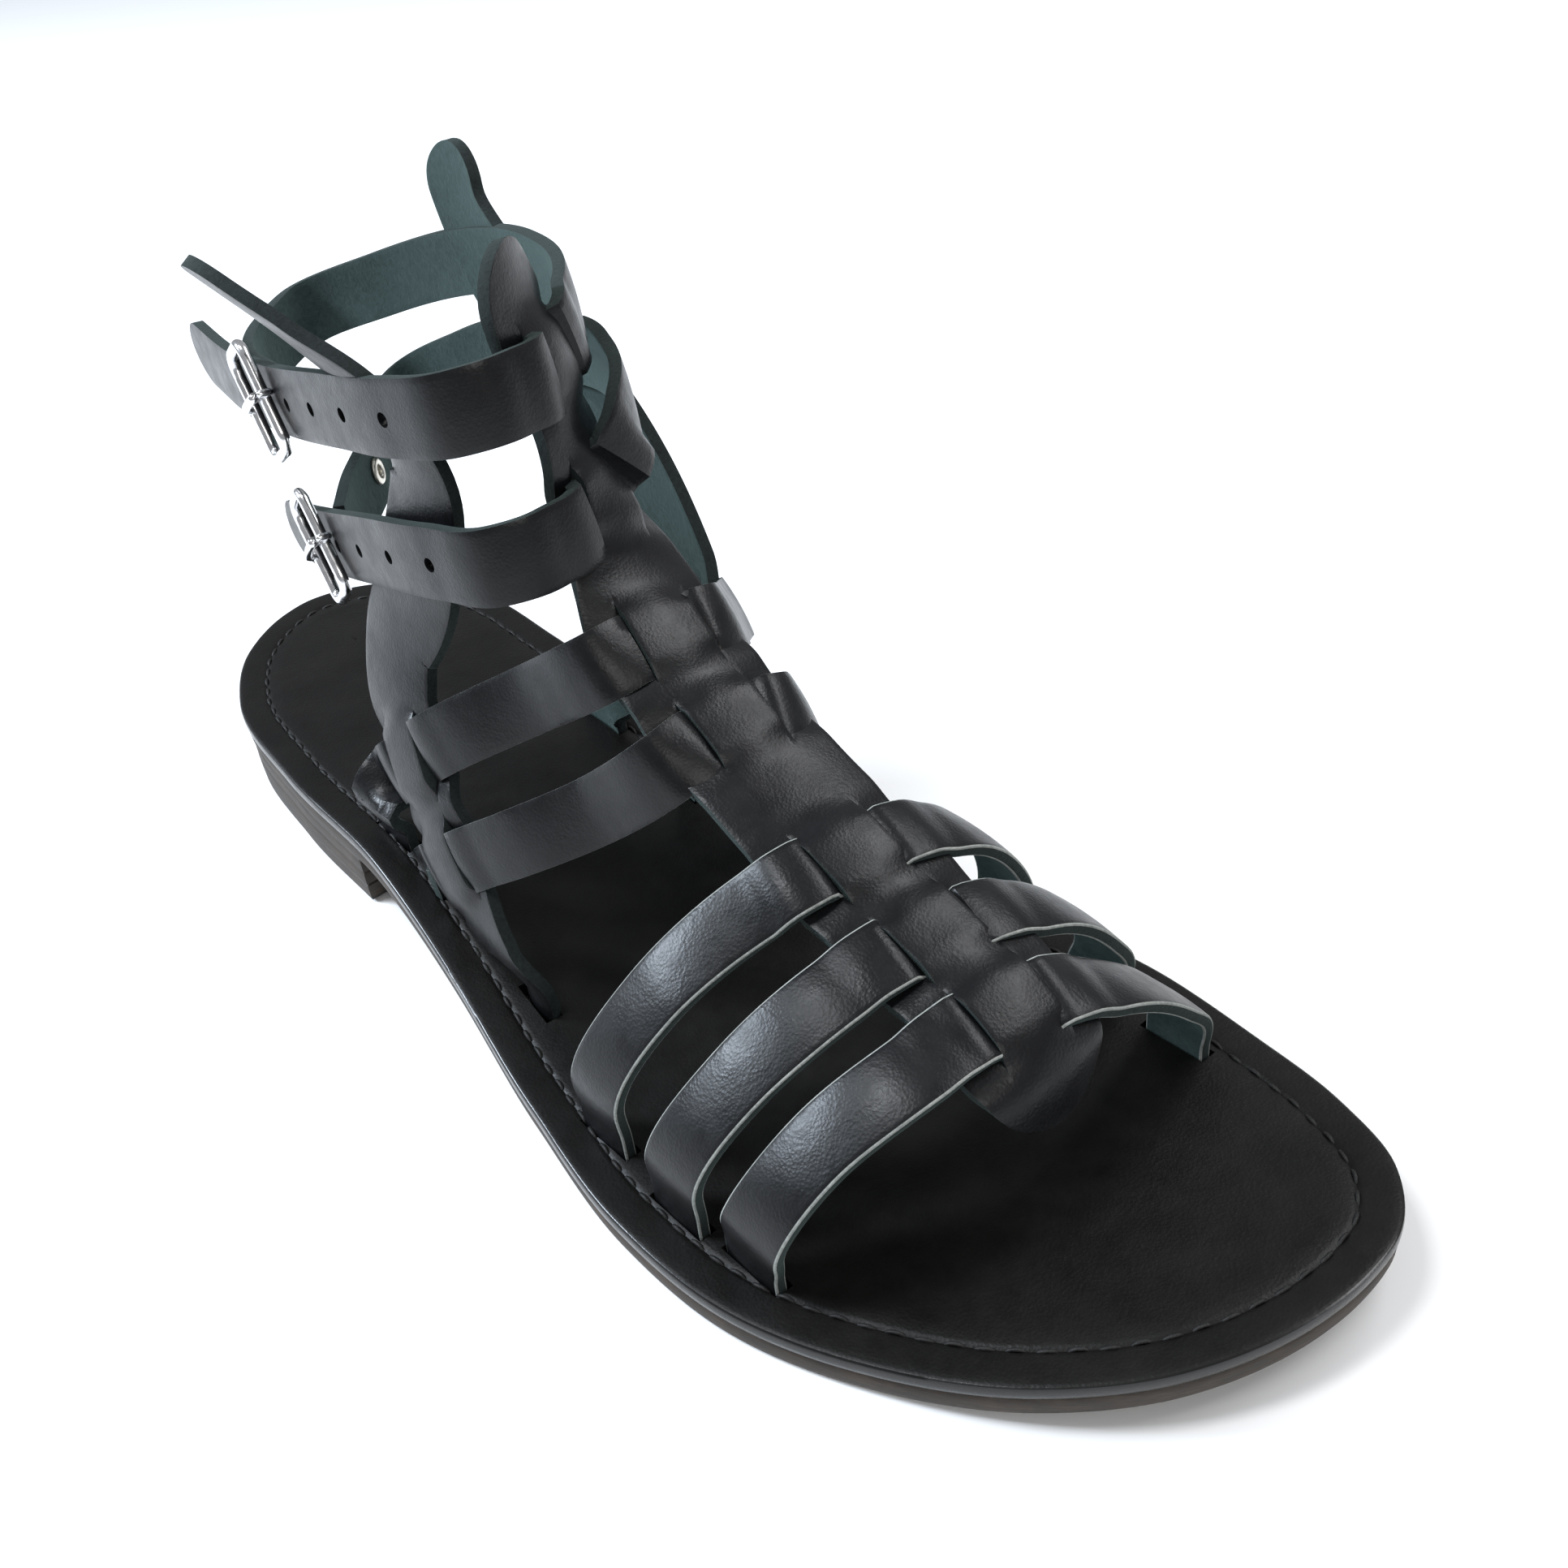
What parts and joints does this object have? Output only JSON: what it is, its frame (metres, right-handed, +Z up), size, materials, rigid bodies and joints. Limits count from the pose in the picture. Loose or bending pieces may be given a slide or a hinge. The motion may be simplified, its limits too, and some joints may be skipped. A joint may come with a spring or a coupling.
{
  "type": "leather sandal",
  "caption": "Black leather gladiator sandal, right shoe: slit central strip with woven cross straps, side strips, two buckled ankle straps, flat insole and low heel.",
  "frame": {"origin": "centre of the bounding box's footprint, on the ground under the sole", "axes": "+Y to the toe, +X to the lateral (outer) side of this right shoe, +Z up"},
  "size_m": [0.0906, 0.2585, 0.1198],
  "materials": {
    "strap_leather": "satin",
    "insole_leather": "matt",
    "sole_leather": "matt",
    "metal": "polished"
  },
  "bodies": {
    "root": {"outsole": "sole_leather", "insole": "insole_leather", "heel": "sole_leather", "upper": "strap_leather", "buckle_upper": "metal", "buckle_lower": "metal", "prong_upper": "metal", "prong_lower": "metal", "rivet_upper": "metal", "rivet_lower": "metal"}
  },
  "joints": []
}
